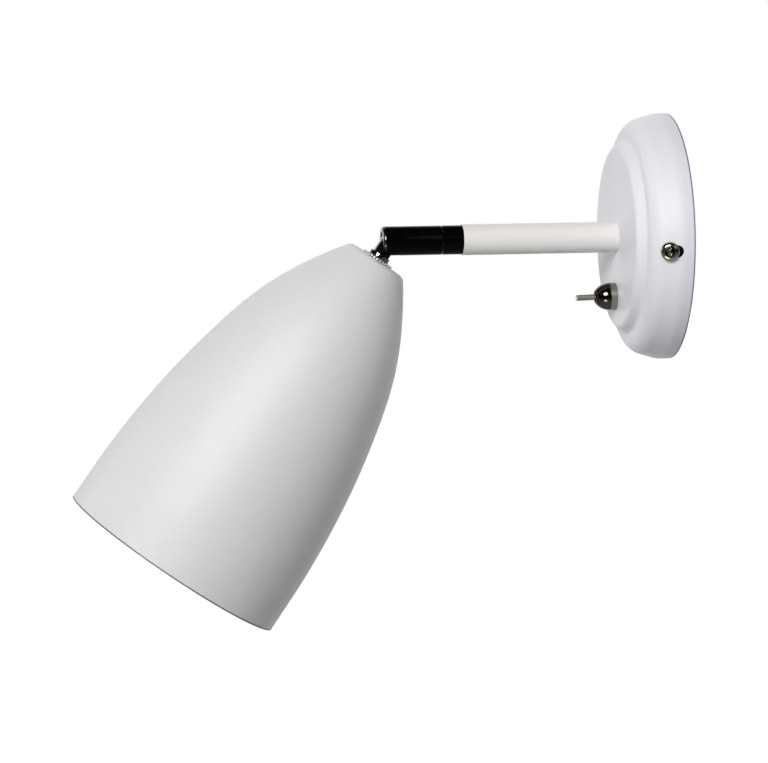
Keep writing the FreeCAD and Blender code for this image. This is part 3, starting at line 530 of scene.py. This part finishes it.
# Painted highlight: the lever's rounded tip is coloured light.
tint_beyond(lever_nickel_tip_highlight, (0, -1, 0), start=-lever_tip - 0.0011, end=-lever_tip - 0.0008,
            colour=(0.80, 0.78, 0.68))
finish_in(lever_nickel_tip_highlight, "toggle_lever")

# ---------------------------------------------------------------- arm and collar
# Steel tube in a slightly warm white coat, and the turned collar in gloss black lacquer, with the spring
# steel parts of the swivel inside.  The same lacquer is shinier on the nose of the swivel knuckle.

finish_in(coated("arm_white_coat", (0.82, 0.80, 0.78), 0.42, bump=0.00018), "arm_tube")
finish_in(plated("spring_steel", (0.42, 0.43, 0.45), 0.22), "swivel_spindle", "retaining_ring", "disc_spring")

lacquer, tree, surface = new_material("black_lacquer")
place = add_node(tree, "ShaderNodeTexCoord")
orange_peel = add_node(tree, "ShaderNodeTexNoise", in_Scale=420.0, in_Detail=2.0)
tree.links.new(place.outputs["Object"], orange_peel.inputs["Vector"])
gloss = add_node(tree, "ShaderNodeMapRange", in_To_Min=0.08, in_To_Max=0.18)
tree.links.new(orange_peel.outputs["Fac"], gloss.inputs["Value"])
tree.links.new(gloss.outputs["Result"], surface.inputs["Roughness"])
depth = add_node(tree, "ShaderNodeMix", data_type="RGBA")
depth.inputs[6].default_value = (0.0008, 0.0008, 0.0012, 1)
depth.inputs[7].default_value = (0.0020, 0.0020, 0.0028, 1)
tree.links.new(orange_peel.outputs["Fac"], depth.inputs["Factor"])
tree.links.new(depth.outputs[2], surface.inputs["Base Color"])
peel = add_node(tree, "ShaderNodeBump", in_Strength=1.0, in_Distance=0.000012)
tree.links.new(orange_peel.outputs["Fac"], peel.inputs["Height"])
tree.links.new(peel.outputs[0], surface.inputs["Normal"])
nose_from = -0.1396
lacquer_axes = add_node(tree, "ShaderNodeSeparateXYZ")
tree.links.new(place.outputs["Object"], lacquer_axes.inputs[0])
shinier = add_node(tree, "ShaderNodeMapRange", in_From_Min=nose_from, in_From_Max=nose_from - 0.0008,
                   in_To_Min=1.14, in_To_Max=2.0)
tree.links.new(lacquer_axes.outputs["Y"], shinier.inputs["Value"])
tree.links.new(shinier.outputs["Result"], surface.inputs["IOR"])
finish_in(lacquer, "collar")

# ---------------------------------------------------------------- swivel knuckle
# Turned and lacquered fork: a milled slot that is open at the tip and below takes the tongue, a blind
# bore takes the spindle.  It is modelled again here for the small bevel that breaks every milled edge.

across = (0, math.radians(90), 0)
along_arm = (math.radians(90), 0, 0)
knuckle_radius = 0.0071
knuckle_start = -0.1124
knuckle_tip = -0.1414
nose_rounding = 0.0014
pivot = Vector((0, -0.1373, 0))
half_gap = 0.0021
slot_behind_pivot = 0.0050
slot_above_pivot = 0.0043
slot_past_tip = 0.002
slot_down_to = -0.009
eye_room = 0.0047
head_pocket_radius = 0.00285
head_pocket_length = 0.004
head_pocket_middle = -0.0070
spindle_bore_radius = 0.00402
spindle_bore_length = 0.0154
knuckle = bar(knuckle_radius, knuckle_start - knuckle_tip, (0, (knuckle_start + knuckle_tip) / 2, 0),
              along_arm, 96)
knuckle.name = "knuckle_fork"
round_end(knuckle, lambda place: place.y < knuckle_tip + hair, nose_rounding)
combine(knuckle, brick(-half_gap, half_gap, knuckle_tip - slot_past_tip, pivot.y + slot_behind_pivot,
                       slot_down_to, slot_above_pivot), "DIFFERENCE")
combine(knuckle, bar(eye_room, 2 * half_gap, pivot, across), "DIFFERENCE")
combine(knuckle, bar(head_pocket_radius, head_pocket_length, (head_pocket_middle, pivot.y, 0), across, 48),
        "DIFFERENCE")
combine(knuckle, bar(spindle_bore_radius, spindle_bore_length, (0, knuckle_start - hair, 0), along_arm, 48),
        "DIFFERENCE")
soften(knuckle, width=0.00028, segments=3)
knuckle.data.materials.append(lacquer)
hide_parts("swivel_knuckle")
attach(knuckle, "swivel")

# ---------------------------------------------------------------- pivot screw and friction washers
# The screw's sunk head is lacquered with the fork; the washers are thin black plastic.

finish_in(lacquer, "pivot_screw")
finish_in(black_plastic, "friction_washers")

# ---------------------------------------------------------------- tilting tongue
# Black-nickel plated steel: a flat eye and neck in the fork's slot, a round foot, and a hollow threaded
# stem that goes through the shade's top.  A channel in the neck opens into the stem's bore for the leads,
# and the thread is drawn as a row of rings.

tilt = math.radians(34.5)
head_turn = (math.pi - tilt, 0, 0)


def hang_in_head(piece):
    """Move a piece drawn round the pivot, with Z down the shade, to its place in the lamp."""
    make_active(piece)
    piece.rotation_euler = head_turn
    piece.location = pivot
    settle()


eye_radius = 0.0044
pivot_hole_radius = 0.00155
pivot_hole_length = 0.01
neck_half = 0.0040
thickness_half = 0.0017
foot_radius = 0.0053
foot_start = 0.0078
foot_end = 0.0101
stem_radius = 0.0045
stem_end = 0.0222
overlap = 0.0004
stem_bore = 0.0026
stem_bore_start = 0.0087
stem_bore_length = 0.0145
channel_half_width = 0.0010
channel_floor = -0.0019
channel_mouth = -0.0070
channel_start = 0.0030
channel_end = 0.0090
tongue = bar(eye_radius, 2 * thickness_half, (0, 0, 0), across)
tongue.name = "tilting_tongue"
combine(tongue, brick(-thickness_half, thickness_half, -neck_half, neck_half, 0, foot_start + overlap),
        "UNION")
combine(tongue, bar(foot_radius, foot_end - foot_start, (0, 0, (foot_start + foot_end) / 2), upright),
        "UNION")
combine(tongue, bar(stem_radius, stem_end - foot_end + overlap, (0, 0, (stem_end + foot_end - overlap) / 2),
                    upright, 48), "UNION")
combine(tongue, bar(pivot_hole_radius, pivot_hole_length, (0, 0, 0), across, 32), "DIFFERENCE")
combine(tongue, brick(-channel_half_width, channel_half_width, channel_mouth, channel_floor,
                      channel_start, channel_end), "DIFFERENCE")
combine(tongue, bar(stem_bore, stem_bore_length, (0, 0, stem_bore_start + stem_bore_length / 2), upright, 40),
        "DIFFERENCE")
soften(tongue, width=0.00035, segments=3)
thread_rings = 11
thread_pitch = 0.001
first_ring = foot_end + 0.0008
ring_outside = 0.0049
ring_inside = 0.0030
ring_width = 0.00035
through_cut = 0.002
for turn in range(thread_rings):
    ring_place = (0, 0, first_ring + turn * thread_pitch)
    ridge = bar(ring_outside, ring_width, ring_place, upright, 40)
    combine(ridge, bar(ring_inside, through_cut, ring_place, upright, 40), "DIFFERENCE")
    join([tongue, ridge])
hang_in_head(tongue)
tongue.data.materials.clear()
tongue.data.materials.append(plated("tongue_black_nickel", (0.22, 0.22, 0.23), 0.07, smudge=0.05))
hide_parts("tongue")
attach(tongue, "head")

# ---------------------------------------------------------------- toothed lock washer
# Spring steel washer with twisted outer teeth under the tongue's foot; its ring is coloured near-black as
# painted shade and its teeth near-white as painted highlights, so each tooth throws its own small highlight.

washer_middle = 0.01055
washer_radius = 0.0070
washer_hole = 0.00495
washer_thickness = 0.00055
teeth = 28
tooth_start = 0.0066
tooth_tip = 0.0079
tooth_half_width = 0.00048
tooth_bottom = -0.00048
tooth_top = 0.00030
tooth_twist = math.radians(18)
# One plated steel washer: painted shade on the ring, painted highlights on the teeth.
washer_ring_painted_shade = plated("washer_ring_painted_shade", (0.02, 0.02, 0.022), 0.30)
tooth_painted_highlight = plated("washer_teeth_painted_highlight", (0.96, 0.96, 0.95), 0.72, smudge=0.06)
washer = bar(washer_radius, washer_thickness, (0, 0, washer_middle), upright, 84)
washer.name = "toothed_lock_washer"
washer.data.materials.append(washer_ring_painted_shade)
combine(washer, bar(washer_hole, through_cut, (0, 0, washer_middle), upright, 48), "DIFFERENCE")
pieces = [washer]
for tooth in range(teeth):
    prong = brick(tooth_start, tooth_tip, -tooth_half_width, tooth_half_width, tooth_bottom, tooth_top)
    prong.data.materials.append(tooth_painted_highlight)
    prong.rotation_euler = (tooth_twist, 0, 0)
    settle()
    prong.rotation_euler = (0, 0, 2 * math.pi * tooth / teeth)
    prong.location = (0, 0, washer_middle)
    settle()
    pieces.append(prong)
join(pieces)
soften(washer, width=0.00006, segments=1)
hang_in_head(washer)
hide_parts("toothed_washer")
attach(washer, "head")

# ---------------------------------------------------------------- shade
# Spun aluminium bell in a satin white coat that is a little greyer than the cup's; its colour turns to a
# thin dark line on the edge of the mouth.

shade_top = 0.0110
shade_length = 0.1776
shade_axis = (0, -math.sin(tilt), -math.cos(tilt))
mouth = shade_top + shade_length + pivot.y * shade_axis[1]
shade_white = coated("shade_white_coat", (0.72, 0.72, 0.73), 0.41, bump=0.00024)
shader_of(shade_white).inputs["Specular IOR Level"].default_value = 0.7
tint_beyond(shade_white, shade_axis, start=mouth - 0.0009, end=mouth - 0.0006, colour=(0.16, 0.15, 0.19))
finish_in(shade_white, "shade")

# ---------------------------------------------------------------- lampholder
# Two-part moulded holder in matt white that is screwed on to the stem, with brass contacts and contact
# screws.

finish_in(moulded("holder_white", (0.76, 0.75, 0.72), 0.36), "lampholder_cap", "lampholder_body")
finish_in(brass, "lampholder_shell", "lampholder_centre_contact", "lampholder_screws")

# ---------------------------------------------------------------- lamp
# Small screw-cap lamp: opal globe, white flared housing, board with yellow chips, nickel cap, and dark
# glass round the brass centre contact.

opal = moulded("opal_globe", (0.86, 0.86, 0.83), 0.30, grains=1200.0, bump=0.000006)
let_light_in(opal, weight=0.4, depth=0.004)
finish_in(opal, "lamp_globe")
finish_in(moulded("housing_white", (0.82, 0.82, 0.80), 0.32), "lamp_housing")
finish_in(plated("board_aluminium", (0.72, 0.73, 0.74), 0.34, smudge=0.15), "led_board")
finish_in(moulded("chip_phosphor", (0.75, 0.60, 0.10), 0.35, grains=6000.0), "led_chips")
finish_in(nickel, "lamp_screw_cap")
finish_in(moulded("dark_cap_glass", (0.010, 0.006, 0.016), 0.06, bump=0.000002), "lamp_cap_insulator")
finish_in(brass, "lamp_centre_contact")

# ---------------------------------------------------------------- leads
# Soft insulated leads: brown and blue for live and neutral, black from the switch, green and yellow for
# earth.

brown = (0.115, 0.042, 0.018)
blue = (0.020, 0.075, 0.34)
black = (0.015, 0.015, 0.016)
lead_colours = {"live_lead": brown, "head_live_lead": brown, "neutral_lead": blue, "head_neutral_lead": blue,
                "switched_lead": black}
for node, insulation in lead_colours.items():
    finish_in(moulded(node + "_insulation", insulation, 0.40, grains=1800.0), node)

earth_skin = moulded("earth_lead_insulation", (0.055, 0.24, 0.035), 0.40, grains=1800.0)
tree = earth_skin.node_tree
place = add_node(tree, "ShaderNodeTexCoord")
facing = add_node(tree, "ShaderNodeSeparateXYZ")
tree.links.new(place.outputs["Normal"], facing.inputs[0])
yellow_from = 0.25
stripe = add_node(tree, "ShaderNodeMath", operation="GREATER_THAN")
stripe.inputs[1].default_value = yellow_from
tree.links.new(facing.outputs["X"], stripe.inputs[0])
tint_where(earth_skin, stripe.outputs[0], (0.72, 0.58, 0.04))
finish_in(earth_skin, "earth_lead")
